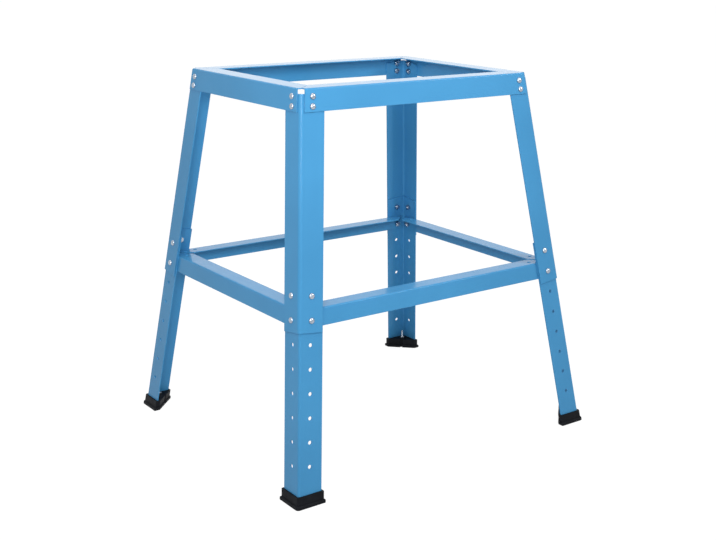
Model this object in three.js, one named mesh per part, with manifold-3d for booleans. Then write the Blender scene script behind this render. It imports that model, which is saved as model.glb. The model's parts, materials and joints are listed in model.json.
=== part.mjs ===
// Bench grinder stand: a splayed stand of folded sheet steel, with four legs that lengthen.
// Each leg is an upper angle and a drilled extension angle nested inside it, bolted at two holes.
// Four top rails lie on the outside of the legs, four lower rails lie inside the extensions.
// Millimetres, +Z up, the origin on the floor under the middle, the front at -Y.
// Every corner piece is modelled at the rear right corner (+X, +Y) and mirrored to the others.
import * as THREE from 'three';
import { mergeVertices } from 'three/addons/utils/BufferGeometryUtils.js';
import Module from 'manifold-3d';

const wasm = await Module();
wasm.setup();

// Overall sizes, with the legs fully out
const topLength = 480; // along X, between the outer corners of the legs in the top plane
const topWidth = 372; // along Y, the same
const topHeight = 666; // floor to the upper face of the top rails
const sideSplay = 7; // degrees that the left and right faces lean
const frontSplay = 8.75; // degrees that the front and rear faces lean

// Sheet steel and fits
const sheet = 2; // thickness of every folded piece
const fitGap = 0.3; // clearance between pieces that touch
const legFold = 1.7; // inside radius of the extension's fold, which the upper leg's fold goes round
const railFold = 1; // inside radius of the fold of every rail

// Upper legs
const legFlange = 45; // width of each flange from the sharp corner
const legTopDrop = 8; // the leg stops this far below the top plane
const legEndMargin = 20; // from the last leg bolt to the cut end

// Leg extensions
const extensionFlange = 44;
const extensionTopMargin = 20; // from the cut end to the first hole
const holePitch = 40; // distance between adjustment holes
const holeGauge = 23.5; // holes from the corner line of the leg
const firstHole = 330; // from the top plane to the first leg bolt, along the corner line
const lastHoleMargin = 36; // least distance from the last hole to the foot

// Top rails
const topWeb = 38;
const topFlange = 38;
const topBoltDrop = 11; // from the top plane to the upper bolt, along the corner line
const topBoltPitch = 16;
const topGauge = 21.5; // bolts from the corner line
const cornerReveal = 7; // the web ends this far from the corner, so the leg's fold shows
const mitreGap = 0.6;

// Lower rails
const lowerWeb = 30;
const lowerFlange = 31;
const lowerBoltDrop = 17.5; // from the upper face of the rail to its bolt, down the web
const webEndGap = 2.4; // from the end of the web to the neighbouring rail's web
const lowerMitreGap = 8; // between the flanges of neighbouring rails
const flangeHoleInset = 47; // from the neighbouring rail's outer face to the hole in the flange
const flangeHoleGauge = 14; // from the rail's own outer face to that hole

// M6 fasteners
const threadDiameter = 6;
const holeClearance = 0.6; // holes are this much wider than the thread
const headDiameter = 10.5;
const headHeight = 3.3;
const nutAcrossFlats = 10;
const nutHeight = 5;
const threadTail = 2; // thread left past the nut

// Rubber feet, triangular in plan
const footHeight = 20;
const footWall = 3;
const footCorner = 4; // radius of the outer corner
const footFloor = 5; // rubber left under the lowest point of the leg
const rimFlare = 2.2;
const rimHeight = 6.5;
const rimEase = 1.5; // chamfer above and below the rim
const grooveRadius = 3; // upright groove in the slanting inner face

// Levelling screws
const screwInset = 21; // from both faces of the leg, at the floor
const screwHeadDiameter = 12;
const screwHeadHeight = 4;
const screwHeadLift = 0.5; // the head is drawn up this far off the floor
const screwRecess = 1; // clearance round the head in the foot
const screwTail = 12; // thread above the lock nut

// Facets
const roundSegments = 10;
const foldSegments = 3;

// Directions and places that follow from the sizes
const leanX = Math.tan(THREE.MathUtils.degToRad(sideSplay));
const leanY = Math.tan(THREE.MathUtils.degToRad(frontSplay));
const corner = new THREE.Vector3(topLength / 2, topWidth / 2, topHeight);
const legDown = new THREE.Vector3(leanX, leanY, -1).normalize();
const down = new THREE.Vector3(0, 0, -1);
const legCosine = -legDown.z;

// A face of the frame: out is its normal, along runs in the face, square to the leg and away from
// the corner, inward is level, flip mirrors a vector to the other end of the rail on this face.
const longFace = {
  out: new THREE.Vector3(0, 1, leanY).normalize(),
  inward: new THREE.Vector3(0, -1, 0),
  halfDepth: topWidth / 2,
  halfLength: topLength / 2,
  lean: leanY,
  endLean: leanX,
  flip: new THREE.Vector3(-1, 1, 1),
};
const shortFace = {
  out: new THREE.Vector3(1, 0, leanX).normalize(),
  inward: new THREE.Vector3(-1, 0, 0),
  halfDepth: topLength / 2,
  halfLength: topWidth / 2,
  lean: leanX,
  endLean: leanY,
  flip: new THREE.Vector3(1, -1, 1),
};
longFace.along = longFace.out.clone().cross(legDown);
shortFace.along = legDown.clone().cross(shortFace.out);
longFace.other = shortFace;
shortFace.other = longFace;
for (const face of [longFace, shortFace]) {
  face.axis = face.inward.clone().cross(down);
  face.slant = Math.sqrt(1 + face.lean * face.lean);
  face.foldAngle = Math.PI / 2 + Math.atan(face.lean);
}
const legAngle = longFace.along.angleTo(shortFace.along);
const insetShare = 1 / Math.tan(legAngle / 2);

const layer = sheet + fitGap;
const holeDiameter = threadDiameter + holeClearance;
const cutterSize = 2 * (topLength + topWidth + topHeight);
const legEnd = firstHole + holePitch + legEndMargin;
const extensionTop = firstHole - extensionTopMargin;
const flangeDrop = -Math.min(longFace.along.z, shortFace.along.z) * (extensionFlange + layer);
const extensionEnd = (topHeight - footFloor - fitGap - flangeDrop) / legCosine;
const holeSpan = (topHeight - footHeight) / legCosine - lastHoleMargin - firstHole;
const holeCount = Math.floor(holeSpan / holePitch) + 1;
const holePlaces = Array.from({ length: holeCount }, (_, k) => firstHole + k * holePitch);
const legBoltPlaces = [firstHole, firstHole + holePitch];
const topBoltPlaces = [topBoltDrop, topBoltDrop + topBoltPitch];

// A point on a face: s down the corner line, gauge away from it, depth inside the leg's outer face
function onFace(face, s, gauge, depth) {
  return corner.clone()
    .addScaledVector(legDown, s)
    .addScaledVector(face.along, gauge)
    .addScaledVector(face.out, -depth);
}

// Solids: three.js shapes go to manifold-3d for cuts and joins, and come back as geometry
function toSolid(geometry) {
  const bare = new THREE.BufferGeometry();
  bare.setAttribute('position', geometry.getAttribute('position').clone());
  if (geometry.index) {
    bare.setIndex(geometry.index.clone());
  }
  const merged = mergeVertices(bare, 1e-4);
  const mesh = new wasm.Mesh({
    numProp: 3,
    vertProperties: new Float32Array(merged.getAttribute('position').array),
    triVerts: new Uint32Array(merged.index.array),
  });
  return new wasm.Manifold(mesh);
}

function toGeometry(solid) {
  const mesh = solid.getMesh();
  const geometry = new THREE.BufferGeometry();
  geometry.setAttribute('position', new THREE.BufferAttribute(mesh.vertProperties, 3));
  geometry.setIndex(new THREE.BufferAttribute(mesh.triVerts, 1));
  geometry.computeVertexNormals();
  return geometry;
}

// A cylinder about the direction given, centred on a point
function rod(center, direction, diameter, length) {
  const radius = diameter / 2;
  const geometry = new THREE.CylinderGeometry(radius, radius, length, roundSegments);
  const turn = new THREE.Quaternion().setFromUnitVectors(new THREE.Vector3(0, 1, 0), direction);
  geometry.applyQuaternion(turn).translate(center.x, center.y, center.z);
  return toSolid(geometry);
}

// Everything on the side of a plane that the normal points to
function beyond(point, normal) {
  const geometry = new THREE.BoxGeometry(cutterSize, cutterSize, cutterSize);
  const turn = new THREE.Quaternion().setFromUnitVectors(new THREE.Vector3(0, 0, 1), normal);
  const middle = point.clone().addScaledVector(normal, cutterSize / 2);
  geometry.applyQuaternion(turn).translate(middle.x, middle.y, middle.z);
  return toSolid(geometry);
}

// A folded angle in section: flange one lies on the first axis, flange two is turned from it by
// the angle, both measured from the sharp outer corner at the origin
function foldedAngle(widthOne, widthTwo, thickness, insideRadius, angle) {
  const cosine = Math.cos(angle);
  const sine = Math.sin(angle);
  const radius = insideRadius + thickness;
  const tangent = radius / Math.tan(angle / 2);
  const startTurn = -Math.PI / 2;
  const endTurn = startTurn - (Math.PI - angle);
  const shape = new THREE.Shape();
  shape.moveTo(widthOne, 0);
  shape.lineTo(tangent, 0);
  shape.absarc(tangent, radius, radius, startTurn, endTurn, true);
  shape.lineTo(widthTwo * cosine, widthTwo * sine);
  shape.lineTo(widthTwo * cosine + thickness * sine, widthTwo * sine - thickness * cosine);
  shape.absarc(tangent, radius, insideRadius, endTurn, startTurn, false);
  shape.lineTo(widthOne, thickness);
  shape.closePath();
  return shape;
}

// A section drawn on two axes and extruded along the third, from an origin
function bar(shape, axisOne, axisTwo, origin, length) {
  const geometry = new THREE.ExtrudeGeometry(shape, {
    depth: length,
    bevelEnabled: false,
    curveSegments: foldSegments,
  });
  const axisThree = axisOne.clone().cross(axisTwo);
  const place = new THREE.Matrix4().makeBasis(axisOne, axisTwo, axisThree).setPosition(origin);
  geometry.applyMatrix4(place);
  return toSolid(geometry);
}

// A leg angle whose outer faces lie inset from the faces of the frame, between two cut ends
function legBar(inset, flange, thickness, insideRadius, start, end) {
  const shape = foldedAngle(flange, flange, thickness, insideRadius, legAngle);
  const origin = onFace(longFace, end, inset * insetShare, inset);
  return bar(shape, longFace.along, longFace.out.clone().negate(), origin, end - start);
}

function drillFaces(solid, places, gauge, depth) {
  let drilled = solid;
  for (const face of [longFace, shortFace]) {
    for (const s of places) {
      const center = onFace(face, s, gauge, depth + sheet / 2);
      drilled = drilled.subtract(rod(center, face.out, holeDiameter, 2 * sheet));
    }
  }
  return drilled;
}

function upperLeg() {
  const blank = legBar(0, legFlange, sheet, legFold + layer, legTopDrop / legCosine, legEnd);
  const topDrilled = drillFaces(blank, topBoltPlaces, topGauge, 0);
  return drillFaces(topDrilled, legBoltPlaces, holeGauge, 0);
}

function legExtension() {
  const blank = legBar(layer, extensionFlange, sheet, legFold, extensionTop, extensionEnd);
  return drillFaces(blank, holePlaces, holeGauge, layer);
}

// A rail angle along a face: web down the slope, flange level and inward, before its ends are cut
function railBar(face, web, flange, topZ, outset) {
  const shape = foldedAngle(flange, web, sheet, railFold, face.foldAngle);
  const drop = topHeight - topZ;
  const half = face.halfLength + face.endLean * (drop + web);
  const distance = face.halfDepth + face.lean * drop + outset * face.slant;
  const origin = face.inward.clone().multiplyScalar(-distance).addScaledVector(face.axis, -half);
  origin.z = topZ;
  return bar(shape, face.inward, down, origin, 2 * half);
}

// Cuts the same solid away at both ends of a rail: make is given a function that mirrors a vector
function cutBothEnds(solid, face, make) {
  const stay = (vector) => vector.clone();
  const mirror = (vector) => vector.clone().multiply(face.flip);
  return solid.subtract(make(stay)).subtract(make(mirror));
}

function topRail(face) {
  let rail = railBar(face, topWeb, topFlange, topHeight, layer);
  const endPoint = corner.clone().addScaledVector(face.other.out, -cornerReveal);
  rail = cutBothEnds(rail, face, (at) => beyond(at(endPoint), at(face.other.out)));
  const mitre = face.inward.clone().sub(face.other.inward).normalize();
  const mitrePoint = corner.clone().addScaledVector(mitre, -mitreGap / 2);
  rail = cutBothEnds(rail, face, (at) => beyond(at(mitrePoint), at(mitre)));
  for (const s of topBoltPlaces) {
    const center = onFace(face, s, topGauge, -fitGap - sheet / 2);
    rail = cutBothEnds(rail, face, (at) => rod(at(center), at(face.out), holeDiameter, 2 * sheet));
  }
  return rail;
}

function lowerRail(face) {
  const inset = 2 * layer;
  const boltPoint = onFace(face, legBoltPlaces[1], holeGauge, inset + sheet / 2);
  const topZ = boltPoint.z + lowerBoltDrop / face.slant;
  const drop = topHeight - topZ;
  let rail = railBar(face, lowerWeb, lowerFlange, topZ, -inset);
  const endPoint = corner.clone().addScaledVector(face.other.out, -inset - sheet - webEndGap);
  rail = cutBothEnds(rail, face, (at) => beyond(at(endPoint), at(face.other.out)));

  // The flanges meet in a mitre that starts where the outer faces of both rails cross
  const railCorner = new THREE.Vector3(0, 0, topZ - sheet / 2);
  for (const side of [face, face.other]) {
    railCorner.addScaledVector(side.inward, inset * side.slant - side.halfDepth - side.lean * drop);
  }
  const mitre = face.inward.clone().sub(face.other.inward).normalize();
  const mitrePoint = railCorner.clone().addScaledVector(mitre, -lowerMitreGap / 2);
  rail = cutBothEnds(rail, face, (at) => beyond(at(mitrePoint), at(mitre)));

  const flangeHole = railCorner.clone().addScaledVector(face.other.inward, flangeHoleInset);
  flangeHole.addScaledVector(face.inward, flangeHoleGauge);
  rail = cutBothEnds(rail, face, (at) => rod(at(flangeHole), down, holeDiameter, 2 * sheet));
  return cutBothEnds(rail, face, (at) => rod(at(boltPoint), at(face.out), holeDiameter, 2 * sheet));
}

// A domed bolt with its nut run on: outerDepth is where the head seats, innerDepth where the nut seats
function boltWithNut(face, s, gauge, outerDepth, innerDepth) {
  const seat = innerDepth - outerDepth + 2 * fitGap;
  const tail = seat + nutHeight + threadTail;
  const headRadius = headDiameter / 2;
  const profile = [
    new THREE.Vector2(0, -tail),
    new THREE.Vector2(threadDiameter / 2, -tail),
    new THREE.Vector2(threadDiameter / 2, 0),
    new THREE.Vector2(headRadius, 0),
    new THREE.Vector2(headRadius * Math.cos(Math.PI / 5), headHeight * Math.sin(Math.PI / 5)),
    new THREE.Vector2(headRadius * Math.cos(Math.PI / 2.5), headHeight * Math.sin(Math.PI / 2.5)),
    new THREE.Vector2(0, headHeight),
  ];
  const turned = new THREE.LatheGeometry(profile, roundSegments);
  const nutRadius = nutAcrossFlats / Math.sqrt(3);
  const nut = new THREE.CylinderGeometry(nutRadius, nutRadius, nutHeight, 6);
  nut.translate(0, -seat - nutHeight / 2, 0);
  const geometry = toGeometry(toSolid(turned).add(toSolid(nut)));
  const turn = new THREE.Quaternion().setFromUnitVectors(new THREE.Vector3(0, 1, 0), face.out);
  const place = onFace(face, s, gauge, outerDepth - fitGap);
  return geometry.applyQuaternion(turn).translate(place.x, place.y, place.z);
}

const topBolt = (face, n) => boltWithNut(face, topBoltPlaces[n], topGauge, -layer, sheet);

// The second leg bolt also holds the lower rail
function legBolt(face, n) {
  const innerDepth = n === 0 ? layer + sheet : 2 * layer + sheet;
  return boltWithNut(face, legBoltPlaces[n], holeGauge, 0, innerDepth);
}

// The foot in plan, on the floor, grown outward all round by a flare
const footTip = layer * insetShare + extensionFlange + fitGap + footWall;
const footTipInner = layer + sheet + fitGap + footWall;

function footShape(flare) {
  const outer = floorPoint(0, 0);
  const skin = footWall - layer + fitGap + flare;
  const tip = footTip + flare;
  const tipInner = footTipInner + flare * (Math.SQRT2 - 1);
  const radius = footCorner + flare;
  const shape = new THREE.Shape();
  shape.moveTo(outer.x - tip, outer.y + skin);
  shape.lineTo(outer.x - tip, outer.y - tipInner);
  shape.lineTo(outer.x - tipInner, outer.y - tip);
  shape.lineTo(outer.x + skin, outer.y - tip);
  shape.absarc(outer.x + skin - radius, outer.y + skin - radius, radius, 0, Math.PI / 2, false);
  shape.closePath();
  return shape;
}

// A point over the floor, inset from both faces of the leg where they meet the floor
function floorPoint(inset, z) {
  const x = corner.x + leanX * topHeight - inset;
  const y = corner.y + leanY * topHeight - inset;
  return new THREE.Vector3(x, y, z);
}

function foot() {
  const up = down.clone().negate();
  const walls = new THREE.ExtrudeGeometry(footShape(0), {
    depth: footHeight,
    bevelEnabled: false,
    curveSegments: foldSegments,
  });
  const rim = new THREE.ExtrudeGeometry(footShape(rimFlare), {
    depth: rimHeight - 2 * rimEase,
    bevelThickness: rimEase,
    bevelSize: rimEase,
    bevelOffset: -rimEase,
    bevelSegments: 1,
    curveSegments: foldSegments,
  });
  rim.translate(0, 0, rimEase);
  // The walls lean with the leg: level slices slide toward the middle as they rise
  const lean = new THREE.Matrix4().set(1, 0, -leanX, 0, 0, 1, -leanY, 0, 0, 0, 1, 0, 0, 0, 0, 1);
  walls.applyMatrix4(lean);
  rim.applyMatrix4(lean);
  let solid = toSolid(walls).add(toSolid(rim));

  const pocketFlange = extensionFlange + fitGap * (1 + insetShare);
  const pocketSheet = sheet + 2 * fitGap;
  const pocketEnd = extensionEnd + fitGap;
  const pocketStart = extensionEnd - 2 * footHeight;
  solid = solid.subtract(
    legBar(layer - fitGap, pocketFlange, pocketSheet, legFold - fitGap, pocketStart, pocketEnd),
  );

  const bore = rod(floorPoint(screwInset, 0), up, holeDiameter, 4 * footHeight);
  const recessDiameter = screwHeadDiameter + 2 * screwRecess;
  const recessHeight = 2 * (screwHeadLift + screwHeadHeight + fitGap);
  const recess = rod(floorPoint(screwInset, 0), up, recessDiameter, recessHeight);
  const wallLean = new THREE.Vector3(-leanX, -leanY, 1).normalize();
  const grooveFoot = floorPoint((footTip + footTipInner) / 2, 0);
  const groove = rod(grooveFoot, wallLean, 2 * grooveRadius, 4 * footHeight);
  return solid.subtract(bore).subtract(recess).subtract(groove);
}

function levellingScrew() {
  const base = screwHeadLift;
  const shoulder = base + screwHeadHeight;
  const tip = footHeight + fitGap + nutHeight + screwTail;
  const ease = threadDiameter / 10;
  const radius = threadDiameter / 2;
  const profile = [
    new THREE.Vector2(0, base),
    new THREE.Vector2(screwHeadDiameter / 2, base),
    new THREE.Vector2(screwHeadDiameter / 2, shoulder),
    new THREE.Vector2(radius, shoulder),
    new THREE.Vector2(radius, tip - ease),
    new THREE.Vector2(radius - ease, tip),
    new THREE.Vector2(0, tip),
  ];
  const place = floorPoint(screwInset, 0);
  const geometry = new THREE.LatheGeometry(profile, roundSegments).rotateX(Math.PI / 2);
  return toSolid(geometry.translate(place.x, place.y, 0));
}

function lockNut() {
  const radius = nutAcrossFlats / Math.sqrt(3);
  const place = floorPoint(screwInset, footHeight + fitGap + nutHeight / 2);
  const geometry = new THREE.CylinderGeometry(radius, radius, nutHeight, 6).rotateX(Math.PI / 2);
  const blank = toSolid(geometry.translate(place.x, place.y, place.z));
  return blank.subtract(rod(place, down.clone().negate(), holeDiameter, 2 * nutHeight));
}

// Finishes
const finishes = {
  paint: { color: 0x4a95cc, roughness: 0.45, metalness: 0.1 },
  zinc: { color: 0xd3d6da, roughness: 0.3, metalness: 0.9 },
  rubber: { color: 0x17181a, roughness: 0.75, metalness: 0 },
};

const stand = new THREE.Group();
stand.name = 'bench_grinder_stand';

// Adds a copy mirrored in X and Y by the signs given, with its faces turned back outward
function place(name, geometry, finish, signX, signY) {
  const copy = geometry.clone();
  copy.scale(signX, signY, 1);
  if (signX * signY < 0) {
    const index = copy.index.array;
    for (let k = 0; k < index.length; k += 3) {
      [index[k], index[k + 1]] = [index[k + 1], index[k]];
    }
  }
  copy.computeVertexNormals();
  const material = new THREE.MeshStandardMaterial({ ...finishes[finish], flatShading: true });
  const mesh = new THREE.Mesh(copy, material);
  mesh.name = name;
  stand.add(mesh);
}

const corners = [
  { depth: 'front', side: 'left', signX: -1, signY: -1 },
  { depth: 'front', side: 'right', signX: 1, signY: -1 },
  { depth: 'rear', side: 'left', signX: -1, signY: 1 },
  { depth: 'rear', side: 'right', signX: 1, signY: 1 },
];

// One of each leg piece at every corner
const legPieces = [
  { name: 'upper_leg', finish: 'paint', geometry: toGeometry(upperLeg()) },
  { name: 'leg_extension', finish: 'paint', geometry: toGeometry(legExtension()) },
  { name: 'foot', finish: 'rubber', geometry: toGeometry(foot()) },
  { name: 'levelling_screw', finish: 'zinc', geometry: toGeometry(levellingScrew()) },
  { name: 'lock_nut', finish: 'zinc', geometry: toGeometry(lockNut()) },
];
for (const { name, finish, geometry } of legPieces) {
  for (const { depth, side, signX, signY } of corners) {
    place(`${name}_${depth}_${side}`, geometry, finish, signX, signY);
  }
}

// Rails: a long one at the front and rear, a short one at the left and right
for (const [level, makeRail] of [['top', topRail], ['lower', lowerRail]]) {
  const longRail = toGeometry(makeRail(longFace));
  const shortRail = toGeometry(makeRail(shortFace));
  place(`${level}_rail_front`, longRail, 'paint', 1, -1);
  place(`${level}_rail_rear`, longRail, 'paint', 1, 1);
  place(`${level}_rail_left`, shortRail, 'paint', -1, 1);
  place(`${level}_rail_right`, shortRail, 'paint', 1, 1);
}

// Two bolts through each flange of a leg at the top, and two at the joint with its extension
for (const [level, makeBolt] of [['top', topBolt], ['leg', legBolt]]) {
  for (const n of [0, 1]) {
    const longBolt = makeBolt(longFace, n);
    const shortBolt = makeBolt(shortFace, n);
    for (const { depth, side, signX, signY } of corners) {
      place(`${level}_bolt_${depth}_${side}_${n + 1}`, longBolt, 'zinc', signX, signY);
      place(`${level}_bolt_${side}_${depth}_${n + 1}`, shortBolt, 'zinc', signX, signY);
    }
  }
}

export default stand;
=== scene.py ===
# %% [markdown]
# A bench grinder stand in folded, powder coated sheet steel.
# Four splayed legs carry four rails at the top and four lower down. Each leg is an angle with a
# drilled extension nested inside it, and ends in a black rubber foot with a levelling screw.
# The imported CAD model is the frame: it fixes every size and place. Here each piece is modelled
# again with fine folds, round holes, soft edges and threads, and given its finish.

# %% Load the frame
import json
import math

import bpy
from mathutils import Matrix, Vector


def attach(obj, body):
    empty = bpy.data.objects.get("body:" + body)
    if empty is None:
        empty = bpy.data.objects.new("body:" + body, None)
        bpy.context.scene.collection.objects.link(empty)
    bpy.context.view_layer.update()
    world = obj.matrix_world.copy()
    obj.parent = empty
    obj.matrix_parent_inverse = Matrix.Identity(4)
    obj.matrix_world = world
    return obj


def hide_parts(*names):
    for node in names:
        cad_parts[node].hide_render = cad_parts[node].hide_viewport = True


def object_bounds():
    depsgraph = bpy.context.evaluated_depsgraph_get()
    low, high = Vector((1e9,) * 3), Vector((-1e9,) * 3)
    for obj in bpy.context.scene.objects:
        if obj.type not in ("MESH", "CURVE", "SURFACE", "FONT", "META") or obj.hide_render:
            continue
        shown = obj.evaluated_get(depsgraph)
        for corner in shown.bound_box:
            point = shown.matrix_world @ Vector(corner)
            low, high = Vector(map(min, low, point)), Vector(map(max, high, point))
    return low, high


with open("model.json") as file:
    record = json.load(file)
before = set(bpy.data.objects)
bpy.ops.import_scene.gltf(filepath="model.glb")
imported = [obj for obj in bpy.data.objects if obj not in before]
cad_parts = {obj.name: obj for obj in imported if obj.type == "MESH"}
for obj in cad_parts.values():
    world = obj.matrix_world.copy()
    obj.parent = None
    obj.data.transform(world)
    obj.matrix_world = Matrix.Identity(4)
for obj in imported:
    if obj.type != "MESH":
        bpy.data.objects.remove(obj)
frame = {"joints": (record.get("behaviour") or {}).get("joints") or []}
cad_low, cad_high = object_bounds()
print("CAD box", tuple(cad_low), tuple(cad_high))

# %% [markdown]
# The sizes below are the ones that the sheet pieces and fasteners share, in metres. Points closer
# than TOUCH count as one when edges and faces are picked. The lean of the legs is read from the
# frame: each leg slides along its own corner line, so the joint's axis gives the slope of both
# faces. One corner is modelled, the rear right, and mirrored to the rest.

# %% Sizes and directions
TOP_LENGTH = 0.480
TOP_WIDTH = 0.372
TOP_HEIGHT = cad_high.z
SHEET = 0.002
FIT_GAP = 0.0003
LAYER = SHEET + FIT_GAP
THREAD = 0.006
HOLE = 0.0066
TOUCH = 0.00001

leg_joint = next(j for j in frame["joints"] if j["name"] == "rear_right_leg_slide")
LEG_UP = Vector(leg_joint["axis"]).normalized()
LEAN_X = -LEG_UP.x / LEG_UP.z
LEAN_Y = -LEG_UP.y / LEG_UP.z
CORNER = Vector((TOP_LENGTH / 2, TOP_WIDTH / 2, TOP_HEIGHT))
UP = Vector((0, 0, 1))
DOWN = Vector((0, 0, -1))


class Face:
    """One sloping face of the frame at the rear right corner, and the rail that lies along it.

    At the top, depth is from the middle of the stand to the face, and length is half the face.
    """

    def __init__(self, out, inward, depth, length, lean, end_lean, flip):
        self.out = Vector(out).normalized()
        self.inward = Vector(inward)
        self.depth = depth
        self.length = length
        self.lean = lean
        self.end_lean = end_lean
        self.flip = Vector(flip)
        self.axis = self.inward.cross(DOWN)
        self.slant = math.sqrt(1 + lean * lean)
        self.fold_angle = math.pi / 2 + math.atan(lean)
        along = self.out.cross(-LEG_UP)
        self.along = along if along.dot(self.axis) * self.axis.dot(CORNER) < 0 else -along

    def point(self, down_leg, gauge, depth):
        """A place down the corner line, in from it along the face, and under the outside."""
        return CORNER - LEG_UP * down_leg + self.along * gauge - self.out * depth


LONG = Face((0, 1, LEAN_Y), (0, -1, 0), TOP_WIDTH / 2, TOP_LENGTH / 2, LEAN_Y, LEAN_X, (-1, 1, 1))
SHORT = Face((1, 0, LEAN_X), (-1, 0, 0), TOP_LENGTH / 2, TOP_WIDTH / 2, LEAN_X, LEAN_Y, (1, -1, 1))
LONG.other = SHORT
SHORT.other = LONG
LEG_ANGLE = LONG.along.angle(SHORT.along)
INSET_SHARE = 1 / math.tan(LEG_ANGLE / 2)
CORNERS = {
    "front_left": (-1, -1),
    "front_right": (1, -1),
    "rear_left": (-1, 1),
    "rear_right": (1, 1),
}
print("faces meet at", round(math.degrees(LEG_ANGLE), 2), "degrees")

# %% [markdown]
# The camera stands in front of the near left leg, a little above the top rails. Its place, aim and
# lens come from matching the holes, bolts and edges of the model to where the picture shows them.
# The picture was cropped off centre, so the lens is shifted sideways to keep the same perspective.
# Angles are in degrees, the sensor in millimetres, and the size, focal length and middle of the
# picture in pixels.

# %% Camera
IMAGE_WIDTH = 716
IMAGE_HEIGHT = 540
CAMERA_PLACE = Vector((-1.2273, -1.7839, 0.8880))
CAMERA_YAW = 38.287
CAMERA_PITCH = -15.572
CAMERA_ROLL = 0.809
FOCAL_PIXELS = 1177.6
AXIS_PIXEL = (434.3, 272.5)
SENSOR = 36.0


def camera_turn():
    yaw, pitch, roll = (math.radians(a) for a in (CAMERA_YAW, CAMERA_PITCH, CAMERA_ROLL))
    forward = Vector((
        math.sin(yaw) * math.cos(pitch),
        math.cos(yaw) * math.cos(pitch),
        math.sin(pitch),
    ))
    right = Vector((math.cos(yaw), -math.sin(yaw), 0))
    up = right.cross(forward)
    rolled_right = right * math.cos(roll) + up * math.sin(roll)
    rolled_up = up * math.cos(roll) - right * math.sin(roll)
    return Matrix((rolled_right, rolled_up, -forward)).transposed()


camera_data = bpy.data.cameras.new("camera")
camera = bpy.data.objects.new("camera", camera_data)
bpy.context.scene.collection.objects.link(camera)
bpy.context.scene.camera = camera
camera_data.sensor_width = SENSOR
camera_data.lens = FOCAL_PIXELS / IMAGE_WIDTH * SENSOR
camera_data.shift_x = (IMAGE_WIDTH / 2 - AXIS_PIXEL[0]) / IMAGE_WIDTH
camera_data.shift_y = (AXIS_PIXEL[1] - IMAGE_HEIGHT / 2) / IMAGE_WIDTH
camera.location = CAMERA_PLACE
camera.rotation_euler = camera_turn().to_euler()
print("lens", round(camera_data.lens, 2), "shift", round(camera_data.shift_x, 4))

# %% [markdown]
# The studio: a white floor that runs out of sight, and a white world. To the camera and to
# reflections both look plain white, while the light that falls on the stand stays at a plain level.
# A key lamp in front of the camera, a little above it, is aimed over the top of the stand, so that
# the legs darken downward. Weaker lamps stand at the front right and the left, a wide one behind
# shines in the level flanges, and an even light comes from above.

# %% Studio
WHITE = (1, 1, 1, 1)
WORLD_LIGHT = 0.23
FLOOR_SIZE = 80.0
FLOOR_PAPER = (0.60, 0.60, 0.60, 1)
FLOOR_GLOW = 1.30
FLOOR_GLOW_SHARE = 0.70
SKY_HEIGHT = 3
STAND_MIDDLE = (0, 0, 0.35)
OVER_THE_TOP = (0, 0, 0.80)


def link(tree, source, socket, target, name):
    tree.links.new(source.outputs[socket], target.inputs[name])


def seen_directly(tree):
    """One for camera, glossy and transmission rays, else zero."""
    path = tree.nodes.new("ShaderNodeLightPath")
    either = tree.nodes.new("ShaderNodeMath")
    either.operation = "MAXIMUM"
    link(tree, path, "Is Camera Ray", either, 0)
    link(tree, path, "Is Glossy Ray", either, 1)
    any_ray = tree.nodes.new("ShaderNodeMath")
    any_ray.operation = "MAXIMUM"
    link(tree, either, 0, any_ray, 0)
    link(tree, path, "Is Transmission Ray", any_ray, 1)
    return any_ray


def white_world():
    world = bpy.data.worlds.new("studio")
    bpy.context.scene.world = world
    world.use_nodes = True
    tree = world.node_tree
    shade = tree.nodes["Background"]
    shade.inputs["Color"].default_value = WHITE
    strength = tree.nodes.new("ShaderNodeMapRange")
    strength.inputs["To Min"].default_value = WORLD_LIGHT
    strength.inputs["To Max"].default_value = 1.0
    link(tree, seen_directly(tree), 0, strength, "Value")
    link(tree, strength, "Result", shade, "Strength")


def white_floor():
    bpy.ops.mesh.primitive_plane_add(size=FLOOR_SIZE)
    floor = bpy.context.object
    floor.name = "floor"
    material = bpy.data.materials.new("studio_floor")
    material.use_nodes = True
    tree = material.node_tree
    tree.nodes.clear()
    paper = tree.nodes.new("ShaderNodeBsdfDiffuse")
    paper.inputs["Color"].default_value = FLOOR_PAPER
    glow = tree.nodes.new("ShaderNodeEmission")
    glow.inputs["Strength"].default_value = FLOOR_GLOW
    share = tree.nodes.new("ShaderNodeMath")
    share.operation = "MULTIPLY"
    share.inputs[1].default_value = FLOOR_GLOW_SHARE
    mix = tree.nodes.new("ShaderNodeMixShader")
    output = tree.nodes.new("ShaderNodeOutputMaterial")
    link(tree, seen_directly(tree), 0, share, 0)
    link(tree, share, 0, mix, 0)
    link(tree, paper, 0, mix, 1)
    link(tree, glow, 0, mix, 2)
    link(tree, mix, 0, output, "Surface")
    floor.data.materials.append(material)


def soft_lamp(name, place, aim, size, watts, spread=math.pi):
    data = bpy.data.lights.new(name, "AREA")
    data.shape = "DISK"
    data.size = size
    data.energy = watts
    data.spread = spread
    lamp = bpy.data.objects.new(name, data)
    bpy.context.scene.collection.objects.link(lamp)
    lamp.location = place
    lamp.rotation_euler = (Vector(aim) - Vector(place)).to_track_quat("-Z", "Y").to_euler()
    lamp.visible_camera = False


def sky_light(name, strength, spread):
    """Even light from straight above, the same all over the floor."""
    data = bpy.data.lights.new(name, "SUN")
    data.energy = strength
    data.angle = spread
    lamp = bpy.data.objects.new(name, data)
    bpy.context.scene.collection.objects.link(lamp)
    lamp.location = (0, 0, SKY_HEIGHT)


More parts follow.
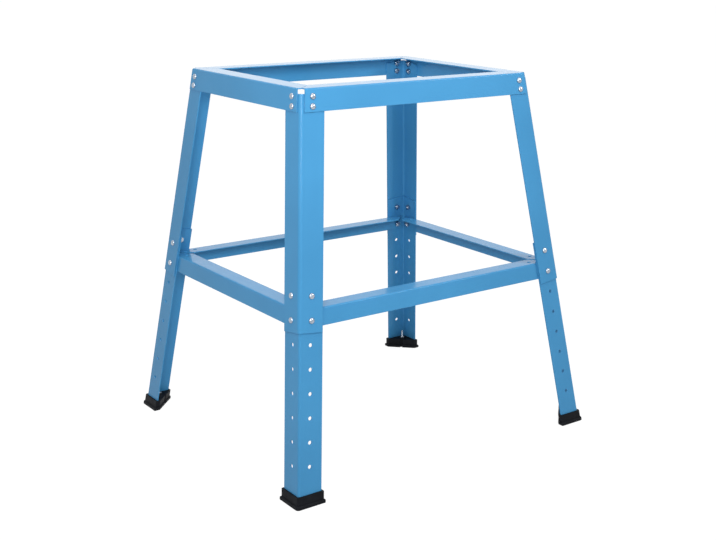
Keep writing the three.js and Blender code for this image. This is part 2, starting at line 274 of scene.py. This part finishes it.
bpy.context.scene.view_settings.view_transform = "Standard"
bpy.ops.object.select_all(action="DESELECT")
white_world()
white_floor()
soft_lamp("key_lamp", (-1.05, -1.3, 1.15), OVER_THE_TOP, size=0.8, watts=6.9, spread=math.radians(100))
soft_lamp("front_lamp", (1.4, -1.7, 1.8), OVER_THE_TOP, size=0.8, watts=4, spread=math.radians(75))
soft_lamp("side_lamp", (-2.6, -0.9, 1.2), STAND_MIDDLE, size=1.0, watts=4)
soft_lamp("back_lamp", (1.75, 2.6, 1.2), STAND_MIDDLE, size=2.4, watts=3.5)
sky_light("sky_light", strength=1.1, spread=math.radians(60))
print("lamps", sorted(light.name for light in bpy.data.lights))

# %% [markdown]
# Finishes. Powder coat is a satin skin with a faint orange peel and a slight drift in tone. Bright
# zinc is a pale, slightly blue metal whose gloss varies from patch to patch. Moulded rubber is near
# black, matt and finely grained. All patterns are noise on Object coordinates, in metres. A tone or
# a gloss runs from its first value to its second over the span where most of the noise lies.

# %% Finishes
PAINT_DEEP = (0.062, 0.290, 0.560, 1)
PAINT_LIGHT = (0.070, 0.320, 0.610, 1)
ZINC_COOL = (0.32, 0.38, 0.46, 1)
ZINC_WARM = (0.46, 0.50, 0.56, 1)
RUBBER_DARK = (0.005, 0.006, 0.008, 1)
RUBBER_DUSTY = (0.009, 0.010, 0.013, 1)
TONE_SPAN = (0.35, 0.65)
GLOSS_SPAN = (0.3, 0.7)
TONE_DETAIL = 3
FINE_DETAIL = 2


def pattern(tree, scale, detail):
    place = tree.nodes.new("ShaderNodeTexCoord")
    noise = tree.nodes.new("ShaderNodeTexNoise")
    noise.inputs["Scale"].default_value = scale
    noise.inputs["Detail"].default_value = detail
    link(tree, place, "Object", noise, "Vector")
    return noise


def finish(name, tones, tone_scale, rough, rough_scale, grain_scale, grain_depth, metallic=0.0):
    """A principled material with drifting tone and gloss, and a fine grain in its surface."""
    material = bpy.data.materials.new(name)
    material.use_nodes = True
    tree = material.node_tree
    shade = tree.nodes["Principled BSDF"]
    shade.inputs["Metallic"].default_value = metallic

    drift = pattern(tree, tone_scale, TONE_DETAIL)
    ramp = tree.nodes.new("ShaderNodeValToRGB")
    for stop, place, tone in zip(ramp.color_ramp.elements, TONE_SPAN, tones):
        stop.position = place
        stop.color = tone
    link(tree, drift, "Fac", ramp, "Fac")
    link(tree, ramp, "Color", shade, "Base Color")

    gloss = pattern(tree, rough_scale, FINE_DETAIL)
    spread = tree.nodes.new("ShaderNodeMapRange")
    spread.inputs["From Min"].default_value = GLOSS_SPAN[0]
    spread.inputs["From Max"].default_value = GLOSS_SPAN[1]
    spread.inputs["To Min"].default_value = rough[0]
    spread.inputs["To Max"].default_value = rough[1]
    link(tree, gloss, "Fac", spread, "Value")
    link(tree, spread, "Result", shade, "Roughness")

    grain = pattern(tree, grain_scale, FINE_DETAIL)
    bump = tree.nodes.new("ShaderNodeBump")
    bump.inputs["Strength"].default_value = 1.0
    bump.inputs["Distance"].default_value = grain_depth
    link(tree, grain, "Fac", bump, "Height")
    link(tree, bump, "Normal", shade, "Normal")
    return material


def shine(material, specular, coat=0.0, coat_rough=0.03, coat_ior=1.5):
    """How strongly the surface mirrors, and a clear skin over it."""
    shade = material.node_tree.nodes["Principled BSDF"]
    shade.inputs["Specular IOR Level"].default_value = specular
    shade.inputs["Coat Weight"].default_value = coat
    shade.inputs["Coat Roughness"].default_value = coat_rough
    shade.inputs["Coat IOR"].default_value = coat_ior


PAINT = finish(
    "powder_coat",
    (PAINT_DEEP, PAINT_LIGHT),
    tone_scale=5,
    rough=(0.36, 0.46),
    rough_scale=24,
    grain_scale=650,
    grain_depth=0.00002,
)
ZINC = finish(
    "bright_zinc",
    (ZINC_COOL, ZINC_WARM),
    tone_scale=160,
    rough=(0.13, 0.24),
    rough_scale=420,
    grain_scale=1500,
    grain_depth=0.00001,
    metallic=1.0,
)
RUBBER = finish(
    "moulded_rubber",
    (RUBBER_DARK, RUBBER_DUSTY),
    tone_scale=45,
    rough=(0.52, 0.66),
    rough_scale=120,
    grain_scale=1800,
    grain_depth=0.00004,
)
shine(PAINT, specular=0.05, coat=1.0, coat_rough=0.10, coat_ior=1.17)
shine(RUBBER, specular=0.09)
FINISHES = {"paint": PAINT, "zinc": ZINC, "rubber": RUBBER}
print("finishes", sorted(FINISHES))

# %% [markdown]
# Helpers for working as by hand. A piece is started from a primitive, shaped in edit mode, cut by
# other solids, and then its edges are eased. Large flat faces keep flat shading through weighted
# normals, so the eased edges alone catch the light.

# %% Modelling helpers
EDGE_EASE = 0.00035
SMOOTH_BELOW = math.radians(32)
SHARP_ABOVE = math.radians(50)
ROD_SIDES = 40
FLAT_FACE_WEIGHT = 80


def only(piece):
    bpy.ops.object.select_all(action="DESELECT")
    piece.select_set(True)
    bpy.context.view_layer.objects.active = piece


def editing(piece, kind="EDGE"):
    only(piece)
    bpy.ops.object.mode_set(mode="EDIT")
    bpy.ops.mesh.select_mode(type=kind)
    bpy.ops.mesh.select_all(action="DESELECT")


def pick(piece, kind, wanted):
    """Selects the edges or faces whose middle passes a test, and goes back to editing."""
    bpy.ops.object.mode_set(mode="OBJECT")
    mesh = piece.data
    if kind == "FACE":
        for face in mesh.polygons:
            face.select = bool(wanted(face.center))
    else:
        for edge in mesh.edges:
            start, end = (mesh.vertices[index].co for index in edge.vertices)
            edge.select = bool(wanted((start + end) / 2))
    bpy.ops.object.mode_set(mode="EDIT")


def done_editing():
    bpy.ops.object.mode_set(mode="OBJECT")


def settle(piece, matrix):
    """Puts a piece where the matrix says, with the place in its mesh."""
    only(piece)
    piece.matrix_world = matrix
    bpy.ops.object.transform_apply(location=True, rotation=True, scale=True)


def axes_matrix(x, y, z, origin):
    turn = Matrix((x, y, z)).transposed().to_4x4()
    return Matrix.Translation(origin) @ turn


def rod(name, radius, length, middle, direction, sides=ROD_SIDES):
    turn = direction.to_track_quat("Z", "Y").to_euler()
    bpy.ops.object.select_all(action="DESELECT")
    bpy.ops.mesh.primitive_cylinder_add(
        vertices=sides, radius=radius, depth=length, location=middle, rotation=turn
    )
    piece = bpy.context.object
    piece.name = name
    bpy.ops.object.transform_apply(location=True, rotation=True, scale=True)
    return piece


def block(name, low, high):
    bpy.ops.object.select_all(action="DESELECT")
    bpy.ops.mesh.primitive_cube_add(size=1, location=(Vector(low) + Vector(high)) / 2)
    piece = bpy.context.object
    piece.name = name
    piece.scale = Vector(high) - Vector(low)
    bpy.ops.object.transform_apply(location=True, rotation=True, scale=True)
    return piece


def combine(piece, tool, operation):
    """Cuts, joins or intersects a piece with a tool, and removes the tool."""
    only(piece)
    step = piece.modifiers.new(operation.lower(), "BOOLEAN")
    step.operation = operation
    step.solver = "EXACT"
    step.object = tool
    bpy.ops.object.modifier_apply(modifier=step.name)
    bpy.data.objects.remove(tool)


def trim(piece, point, normal):
    """Removes everything beyond a plane and closes the cut."""
    editing(piece, "FACE")
    bpy.ops.mesh.select_all(action="SELECT")
    bpy.ops.mesh.bisect(plane_co=point, plane_no=normal, use_fill=True, clear_outer=True)
    done_editing()


def ease(piece, width, segments=2):
    only(piece)
    step = piece.modifiers.new("ease", "BEVEL")
    step.width = width
    step.segments = segments
    step.limit_method = "ANGLE"
    step.angle_limit = SMOOTH_BELOW
    step.use_clamp_overlap = True
    bpy.ops.object.modifier_apply(modifier=step.name)


def flatten_shading(piece):
    """Smooth shading across folds and eased edges, while the large faces stay flat."""
    only(piece)
    bpy.ops.object.shade_smooth_by_angle(angle=SHARP_ABOVE)
    step = piece.modifiers.new("flat_faces", "WEIGHTED_NORMAL")
    step.keep_sharp = True
    step.weight = FLAT_FACE_WEIGHT
    bpy.ops.object.modifier_apply(modifier=step.name)


def place_copy(piece, node, body, slot, sign_x, sign_y):
    """A mirrored copy with its own mesh, in the place of a CAD node."""
    mesh = piece.data.copy()
    copy = bpy.data.objects.new("fine_" + node, mesh)
    bpy.context.scene.collection.objects.link(copy)
    mesh.transform(Matrix.Diagonal((sign_x, sign_y, 1, 1)))
    if sign_x * sign_y < 0:
        mesh.flip_normals()
    flatten_shading(copy)
    mesh.materials.clear()
    mesh.materials.append(FINISHES[slot])
    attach(copy, body)
    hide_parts(node)


def at_every_corner(piece, name, body, slot):
    for corner, (sign_x, sign_y) in CORNERS.items():
        place_copy(piece, f"{name}_{corner}", body.format(corner=corner), slot, sign_x, sign_y)
    print(name, len(piece.data.polygons), "faces each")
    bpy.data.objects.remove(piece)


# %% [markdown]
# Folded sheet. Every leg and rail is one strip of steel with a single fold. The strip starts as a
# plane for the first flange, its edge is extruded for the second, the edge between them is rounded
# by a bevel, and Solidify gives the sheet its thickness on the inside of the fold.

# %% Folded sheet
FOLD_STEPS = 8
DRILL_LENGTH = 3 * SHEET


def folded_sheet(name, flange_one, flange_two, angle, inside_radius, thickness, length):
    """Flange one along X, sheet inward along Y, length along Z; flange two is turned by the angle."""
    bpy.ops.object.select_all(action="DESELECT")
    bpy.ops.mesh.primitive_plane_add(size=1, rotation=(math.pi / 2, 0, 0))
    piece = bpy.context.object
    piece.name = name
    piece.scale = (flange_one, length, 1)
    piece.location = (flange_one / 2, 0, length / 2)
    bpy.ops.object.transform_apply(location=True, rotation=True, scale=True)

    editing(piece)
    pick(piece, "EDGE", lambda m: m.x < TOUCH)
    reach = Vector((math.cos(angle), math.sin(angle), 0)) * flange_two
    bpy.ops.mesh.extrude_region_move(TRANSFORM_OT_translate={"value": reach})
    pick(piece, "EDGE", lambda m: abs(m.x) < TOUCH and abs(m.y) < TOUCH)
    outside = inside_radius + thickness
    tangent = outside / math.tan(angle / 2)
    bpy.ops.mesh.bevel(offset=tangent, segments=FOLD_STEPS, profile=0.5, affect="EDGES")
    bpy.ops.mesh.select_all(action="SELECT")
    bpy.ops.mesh.normals_make_consistent(inside=False)
    done_editing()
    if any(face.normal.y > 0 for face in piece.data.polygons):
        piece.data.flip_normals()

    step = piece.modifiers.new("sheet", "SOLIDIFY")
    step.thickness = thickness
    step.offset = -1
    step.use_even_offset = True
    bpy.ops.object.modifier_apply(modifier=step.name)
    return piece


def leg_sheet(name, inset, flange, thickness, inside_radius, start, end):
    piece = folded_sheet(name, flange, flange, LEG_ANGLE, inside_radius, thickness, end - start)
    origin = LONG.point(end, inset * INSET_SHARE, inset)
    settle(piece, axes_matrix(LONG.along, -LONG.out, LEG_UP, origin))
    return piece


def drill(piece, places):
    """Round holes, given as a list of middles and directions, cut in one go."""
    tools = [rod("drill", HOLE / 2, DRILL_LENGTH, middle, direction) for middle, direction in places]
    only(tools[0])
    for tool in tools:
        tool.select_set(True)
    bpy.ops.object.join()
    combine(piece, tools[0], "DIFFERENCE")


# %% [markdown]
# Upper legs. The angle stops just under the top plane, with two bolt holes in each flange at the
# top for the rails, and two lower down for the extension. The leg ends so near the upper hole at
# the top that this hole is open there, as it is in the frame.

# %% Upper legs
LEG_FLANGE = 0.045
LEG_FOLD = 0.0017
LEG_TOP_DROP = 0.008
HOLE_PITCH = 0.040
HOLE_GAUGE = 0.0235
FIRST_HOLE = 0.330
LEG_END_MARGIN = 0.020
TOP_BOLTS = (0.011, 0.027)
TOP_GAUGE = 0.0215
LEG_BOLTS = (FIRST_HOLE, FIRST_HOLE + HOLE_PITCH)


def upper_leg():
    end = LEG_BOLTS[1] + LEG_END_MARGIN
    leg = leg_sheet("leg", 0, LEG_FLANGE, SHEET, LEG_FOLD + LAYER, LEG_TOP_DROP / LEG_UP.z, end)
    places = []
    for face in (LONG, SHORT):
        places += [(face.point(s, TOP_GAUGE, SHEET / 2), face.out) for s in TOP_BOLTS]
        places += [(face.point(s, HOLE_GAUGE, SHEET / 2), face.out) for s in LEG_BOLTS]
    drill(leg, places)
    ease(leg, EDGE_EASE)
    return leg


at_every_corner(upper_leg(), "upper_leg", "frame", "paint")

# %% [markdown]
# Leg extensions. The same angle a size smaller, nested inside the leg, with a row of holes down
# each flange. Two in each row are bolted, and the rest stay open for a lower setting.

# %% Leg extensions
EXTENSION_FLANGE = 0.044
EXTENSION_TOP_MARGIN = 0.020
HOLE_COUNT = 8
FOOT_FLOOR = 0.005


def extension_end():
    drop = -min(LONG.along.z, SHORT.along.z) * (EXTENSION_FLANGE + LAYER)
    return (TOP_HEIGHT - FOOT_FLOOR - FIT_GAP - drop) / LEG_UP.z


def leg_extension():
    start = FIRST_HOLE - EXTENSION_TOP_MARGIN
    piece = leg_sheet("extension", LAYER, EXTENSION_FLANGE, SHEET, LEG_FOLD, start, extension_end())
    rows = [FIRST_HOLE + k * HOLE_PITCH for k in range(HOLE_COUNT)]
    depth = LAYER + SHEET / 2
    drill(piece, [(face.point(s, HOLE_GAUGE, depth), face.out) for face in (LONG, SHORT) for s in rows])
    ease(piece, EDGE_EASE)
    return piece


at_every_corner(leg_extension(), "leg_extension", "{corner}_extension", "paint")

# %% [markdown]
# Top rails. Each lies on the outside of two legs, its web following their slope and its flange
# level on top. The web stops short of the corner so that the fold of the leg shows, and the
# flanges meet in a mitre with a small notch outside it.

# %% Top rails
TOP_WEB = 0.038
TOP_FLANGE = 0.038
RAIL_FOLD = 0.001
CORNER_REVEAL = 0.007
MITRE_GAP = 0.0006


def rail_sheet(face, web, flange, top_z, outset):
    drop = TOP_HEIGHT - top_z
    half = face.length + face.end_lean * (drop + web)
    distance = face.depth + face.lean * drop + outset * face.slant
    piece = folded_sheet("rail", flange, web, face.fold_angle, RAIL_FOLD, SHEET, 2 * half)
    origin = -face.inward * distance - face.axis * half
    origin.z = top_z
    settle(piece, axes_matrix(face.inward, DOWN, face.axis, origin))
    return piece


def both_ends(face, vector):
    """A place or direction at one end of a rail, and its mirror image at the other."""
    return vector, vector * face.flip


def trim_both_ends(rail, face, point, normal):
    for end_point, end_normal in zip(both_ends(face, point), both_ends(face, normal)):
        trim(rail, end_point, end_normal)


def web_holes(face, middle):
    """Where to drill a bolt hole through the web, at both ends of a rail."""
    return list(zip(both_ends(face, middle), both_ends(face, face.out)))


def mitre_normal(face):
    return (face.inward - face.other.inward).normalized()


def top_rail(face):
    rail = rail_sheet(face, TOP_WEB, TOP_FLANGE, TOP_HEIGHT, LAYER)
    mitre = mitre_normal(face)
    trim_both_ends(rail, face, CORNER - face.other.out * CORNER_REVEAL, face.other.out)
    trim_both_ends(rail, face, CORNER - mitre * MITRE_GAP / 2, mitre)
    places = []
    for s in TOP_BOLTS:
        places += web_holes(face, face.point(s, TOP_GAUGE, -FIT_GAP - SHEET / 2))
    drill(rail, places)
    ease(rail, EDGE_EASE)
    return rail


def at_both_sides(piece, level, names, signs):
    for name, (sign_x, sign_y) in zip(names, signs):
        place_copy(piece, f"{level}_rail_{name}", "frame", "paint", sign_x, sign_y)
    print(level, "rails", names, len(piece.data.polygons), "faces each")
    bpy.data.objects.remove(piece)


LONG_RAILS = ("front", "rear")
LONG_SIGNS = ((1, -1), (1, 1))
SHORT_RAILS = ("left", "right")
SHORT_SIGNS = ((-1, 1), (1, 1))
at_both_sides(top_rail(LONG), "top", LONG_RAILS, LONG_SIGNS)
at_both_sides(top_rail(SHORT), "top", SHORT_RAILS, SHORT_SIGNS)

# %% [markdown]
# Lower rails. These lie inside the extensions and share their lower bolt. The ends of the webs stop
# short of each other inside the leg, and the flanges leave an open mitre there. Each flange has a
# hole near each end, as for a tray.

# %% Lower rails
LOWER_WEB = 0.030
LOWER_FLANGE = 0.031
LOWER_BOLT_DROP = 0.0175
WEB_END_GAP = 0.0024
LOWER_MITRE_GAP = 0.008
FLANGE_HOLE_INSET = 0.047
FLANGE_HOLE_GAUGE = 0.014


def lower_rail(face):
    inset = 2 * LAYER
    bolt = face.point(LEG_BOLTS[1], HOLE_GAUGE, inset + SHEET / 2)
    top_z = bolt.z + LOWER_BOLT_DROP / face.slant
    drop = TOP_HEIGHT - top_z
    rail = rail_sheet(face, LOWER_WEB, LOWER_FLANGE, top_z, -inset)

    rail_corner = Vector((0, 0, top_z - SHEET / 2))
    for side in (face, face.other):
        rail_corner -= side.inward * (side.depth + side.lean * drop - inset * side.slant)
    mitre = mitre_normal(face)
    web_end = CORNER - face.other.out * (inset + SHEET + WEB_END_GAP)
    trim_both_ends(rail, face, web_end, face.other.out)
    trim_both_ends(rail, face, rail_corner - mitre * LOWER_MITRE_GAP / 2, mitre)

    hole = rail_corner + face.other.inward * FLANGE_HOLE_INSET + face.inward * FLANGE_HOLE_GAUGE
    flange_holes = [(middle, DOWN) for middle in both_ends(face, hole)]
    drill(rail, flange_holes + web_holes(face, bolt))
    ease(rail, EDGE_EASE)
    return rail


at_both_sides(lower_rail(LONG), "lower", LONG_RAILS, LONG_SIGNS)
at_both_sides(lower_rail(SHORT), "lower", SHORT_RAILS, SHORT_SIGNS)

# %% [markdown]
# Fasteners. The bolts are bright domed M6 bolts with a hexagon nut inside the leg. The dome is
# half of a flattened sphere. The thread is made of one ring after another, extruded from the end
# of the shank and drawn in and out, which at this size looks the same as a helix. The nut is a
# hexagon with both faces turned: the part that it shares with a chamfered disc.

# %% Fasteners
HEAD_RADIUS = 0.00525
HEAD_HEIGHT = 0.0033
NUT_FLATS = 0.010
NUT_HEIGHT = 0.005
THREAD_TAIL = 0.002
THREAD_PITCH = 0.001
THREAD_DEPTH = 0.00055
NUT_CHAMFER = 0.0008
FINE_EASE = 0.0002
ROUND_SIDES = 32
HEAD_RINGS = 16


def threaded_rod(name, bottom, top, plain):
    """A rod up Z from bottom to top, threaded from the top down to the plain height."""
    turns = int((top - plain) / THREAD_PITCH)
    start = top - turns * THREAD_PITCH
    middle = Vector((0, 0, (bottom + start) / 2))
    piece = rod(name, THREAD / 2, start - bottom, middle, UP, ROUND_SIDES)
    editing(piece, "FACE")
    pick(piece, "FACE", lambda m: abs(m.z - start) < TOUCH)
    shrink = 1 - THREAD_DEPTH / (THREAD / 2)
    for turn in range(turns):
        for factor in (shrink, 1 / shrink):
            last = turn == turns - 1 and factor > 1
            bpy.ops.mesh.extrude_region_move(TRANSFORM_OT_translate={"value": (0, 0, THREAD_PITCH / 2)})
            size = 1.0 if last else factor
            bpy.ops.transform.resize(value=(size, size, 1))
    done_editing()
    return piece


def hexagon_nut(name, bottom):
    middle = Vector((0, 0, bottom + NUT_HEIGHT / 2))
    corner_radius = NUT_FLATS / math.sqrt(3)
    nut = rod(name, corner_radius, NUT_HEIGHT, middle, UP, sides=6)
    disc = rod("turned_disc", corner_radius, NUT_HEIGHT, middle, UP, 2 * ROUND_SIDES)
    editing(disc)
    pick(disc, "EDGE", lambda m: abs(abs(m.z - middle.z) - NUT_HEIGHT / 2) < TOUCH)
    bpy.ops.mesh.bevel(offset=NUT_CHAMFER, segments=1, affect="EDGES")
    done_editing()
    combine(nut, disc, "INTERSECT")
    return nut


def domed_head(name):
    bpy.ops.object.select_all(action="DESELECT")
    bpy.ops.mesh.primitive_uv_sphere_add(segments=ROUND_SIDES, ring_count=HEAD_RINGS, radius=HEAD_RADIUS)
    head = bpy.context.object
    head.name = name
    trim(head, (0, 0, 0), DOWN)
    head.scale = (1, 1, HEAD_HEIGHT / HEAD_RADIUS)
    only(head)
    bpy.ops.object.transform_apply(location=True, rotation=True, scale=True)
    return head


def bolt_with_nut(grip):
    """Head up Z from zero, shank and nut below: the nut seats a grip below the head."""
    seat = grip + 2 * FIT_GAP
    tail = seat + NUT_HEIGHT + THREAD_TAIL
    bolt = threaded_rod("bolt", -FIT_GAP, tail, seat + NUT_HEIGHT / 2)
    bolt.data.transform(Matrix.Rotation(math.pi, 4, "X"))
    nut = hexagon_nut("nut", -seat - NUT_HEIGHT)
    combine(bolt, nut, "UNION")
    combine(bolt, domed_head("head"), "UNION")
    ease(bolt, FINE_EASE, 1)
    return bolt


def seat_bolts(level, face, index, down_leg, gauge, outer, grip):
    bolt = bolt_with_nut(grip)
    place = face.point(down_leg, gauge, outer - FIT_GAP)
    turn = face.out.to_track_quat("Z", "Y").to_matrix().to_4x4()
    bolt.data.transform(Matrix.Translation(place) @ turn)
    for corner, (sign_x, sign_y) in CORNERS.items():
        depth, side = corner.split("_")
        where = corner if face is LONG else f"{side}_{depth}"
        place_copy(bolt, f"{level}_bolt_{where}_{index}", "frame", "zinc", sign_x, sign_y)
    print(level, "bolts", index, len(bolt.data.polygons), "faces each")
    bpy.data.objects.remove(bolt)


JOINT_GRIPS = (LAYER + SHEET, 2 * LAYER + SHEET)
for face in (LONG, SHORT):
    for index in (0, 1):
        seat_bolts("top", face, index + 1, TOP_BOLTS[index], TOP_GAUGE, -LAYER, LAYER + SHEET)
        seat_bolts("leg", face, index + 1, LEG_BOLTS[index], HOLE_GAUGE, 0, JOINT_GRIPS[index])

# %% [markdown]
# Feet. A foot is a triangular rubber moulding: a block with its inner corner cut off, on a wider
# rim, leaning with the leg. A slot takes the end of the leg, the slanting inner face has an
# upright groove, and the levelling screw goes up through the middle.

# %% Feet
FOOT_HEIGHT = 0.020
FOOT_WALL = 0.003
FOOT_CORNER = 0.004
RIM_FLARE = 0.0022
RIM_HEIGHT = 0.0065
RIM_EASE = 0.0015
GROOVE_RADIUS = 0.003
SCREW_INSET = 0.021
SCREW_HEAD_RADIUS = 0.006
SCREW_HEAD_HEIGHT = 0.004
SCREW_HEAD_LIFT = 0.0005
SCREW_RECESS = 0.001
SCREW_TAIL = 0.012
RUBBER_EASE = 0.0007
CORNER_STEPS = 6
RUBBER_STEPS = 3
SLOT_LENGTH = 2 * FOOT_HEIGHT
RIGHT_THROUGH = 4 * FOOT_HEIGHT
FLOOR_CORNER = Vector((CORNER.x + LEAN_X * TOP_HEIGHT, CORNER.y + LEAN_Y * TOP_HEIGHT, 0))
FOOT_TIP = LAYER * INSET_SHARE + EXTENSION_FLANGE + FIT_GAP + FOOT_WALL
FOOT_TIP_INNER = LAYER + SHEET + FIT_GAP + FOOT_WALL
SLANT_INSET = (FOOT_TIP + FOOT_TIP_INNER) / 2
LEAN = Matrix(((1, 0, -LEAN_X, 0), (0, 1, -LEAN_Y, 0), (0, 0, 1, 0), (0, 0, 0, 1)))


def floor_point(inset):
    return FLOOR_CORNER - Vector((inset, inset, 0))


def foot_block(name, flare, height):
    skin = FOOT_WALL - LAYER + FIT_GAP + flare
    tip = FOOT_TIP + flare
    low = FLOOR_CORNER - Vector((tip, tip, 0))
    high = FLOOR_CORNER + Vector((skin, skin, height))
    piece = block(name, low, high)
    slant = floor_point(SLANT_INSET + flare / math.sqrt(2))
    trim(piece, slant, Vector((-1, -1, 0)).normalized())
    editing(piece)
    outer = high.xy
    pick(piece, "EDGE", lambda m: (m.xy - outer).length < TOUCH)
    bpy.ops.mesh.bevel(offset=FOOT_CORNER + flare, segments=CORNER_STEPS, affect="EDGES")
    done_editing()
    return piece


def rubber_foot():
    foot = foot_block("foot", 0, FOOT_HEIGHT)
    rim = foot_block("rim", RIM_FLARE, RIM_HEIGHT)
    editing(rim)
    pick(rim, "EDGE", lambda m: m.z < TOUCH or m.z > RIM_HEIGHT - TOUCH)
    bpy.ops.mesh.bevel(offset=RIM_EASE, segments=RUBBER_STEPS, affect="EDGES")
    done_editing()
    combine(foot, rim, "UNION")
    foot.data.transform(LEAN)

    flange = EXTENSION_FLANGE + FIT_GAP * (1 + INSET_SHARE)
    bottom = extension_end() + FIT_GAP
    width = SHEET + 2 * FIT_GAP
    slot = leg_sheet("slot", SHEET, flange, width, LEG_FOLD - FIT_GAP, bottom - SLOT_LENGTH, bottom)
    combine(foot, slot, "DIFFERENCE")
    wall_lean = Vector((-LEAN_X, -LEAN_Y, 1)).normalized()
    groove = floor_point(SLANT_INSET)
    combine(foot, rod("groove", GROOVE_RADIUS, RIGHT_THROUGH, groove, wall_lean), "DIFFERENCE")
    screw = floor_point(SCREW_INSET)
    combine(foot, rod("bore", HOLE / 2, RIGHT_THROUGH, screw, UP), "DIFFERENCE")
    # The recess is cut by a rod centred on the floor, so the rod is twice as long.
    recess = 2 * (SCREW_HEAD_LIFT + SCREW_HEAD_HEIGHT + FIT_GAP)
    combine(foot, rod("recess", SCREW_HEAD_RADIUS + SCREW_RECESS, recess, screw, UP), "DIFFERENCE")
    ease(foot, RUBBER_EASE, RUBBER_STEPS)
    return foot


at_every_corner(rubber_foot(), "foot", "{corner}_extension", "rubber")

# %% [markdown]
# Levelling screws. A threaded stud with a flat round head in the underside of the foot, and a lock
# nut on top of the foot that holds the setting.

# %% Levelling screws
def levelling_screw():
    head_middle = SCREW_HEAD_LIFT + SCREW_HEAD_HEIGHT / 2
    tip = FOOT_HEIGHT + FIT_GAP + NUT_HEIGHT + SCREW_TAIL
    screw = threaded_rod("screw", head_middle, tip, FOOT_HEIGHT)
    disc = rod("disc", SCREW_HEAD_RADIUS, SCREW_HEAD_HEIGHT, Vector((0, 0, head_middle)), UP)
    combine(screw, disc, "UNION")
    ease(screw, FINE_EASE, 1)
    screw.data.transform(Matrix.Translation(floor_point(SCREW_INSET)))
    return screw


def lock_nut():
    nut = hexagon_nut("lock_nut", FOOT_HEIGHT + FIT_GAP)
    middle = Vector((0, 0, FOOT_HEIGHT + FIT_GAP + NUT_HEIGHT / 2))
    combine(nut, rod("bore", HOLE / 2, 2 * NUT_HEIGHT, middle, UP), "DIFFERENCE")
    ease(nut, FINE_EASE, 1)
    nut.data.transform(Matrix.Translation(floor_point(SCREW_INSET)))
    return nut


at_every_corner(levelling_screw(), "levelling_screw", "{corner}_screw", "zinc")
at_every_corner(lock_nut(), "lock_nut", "{corner}_extension", "zinc")
